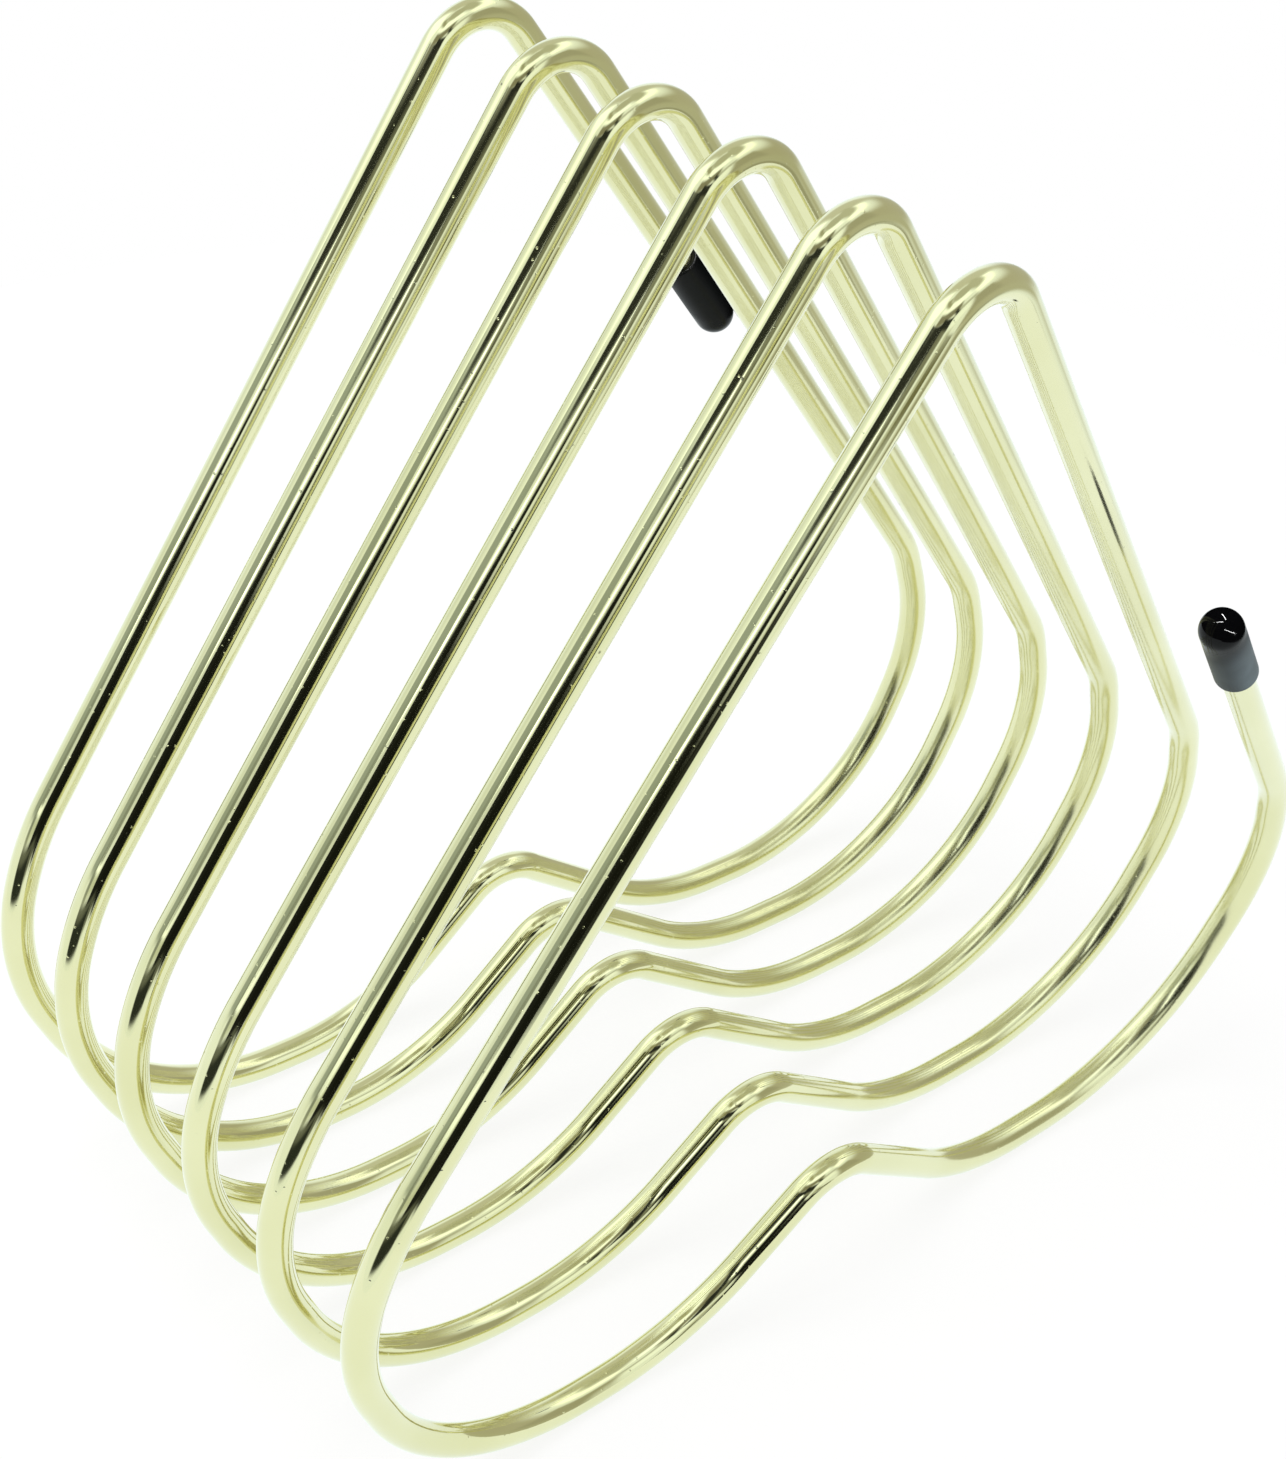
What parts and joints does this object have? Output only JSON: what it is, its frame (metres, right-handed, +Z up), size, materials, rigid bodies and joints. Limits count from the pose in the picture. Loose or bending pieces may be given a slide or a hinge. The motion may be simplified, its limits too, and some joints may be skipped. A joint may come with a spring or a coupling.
{
  "type": "letter rack",
  "caption": "Desk letter rack: one gold-plated wire wound into a row of upside-down hearts that hold letters between them, with a black soft cap on each end.",
  "frame": {"origin": "on the table, under the middle of the rack's box", "axes": "+Z up, +X to the right across the hearts, -Y towards the front, where the capped front end of the wire is"},
  "size_m": [0.1848, 0.1194, 0.1736],
  "materials": {
    "gold_plated_wire": "bright pale gold plating on steel wire",
    "black_vinyl": "glossy black dipped vinyl"
  },
  "bodies": {
    "root": {"heart_wire": "gold_plated_wire", "front_cap": "black_vinyl", "rear_cap": "black_vinyl"}
  },
  "joints": []
}
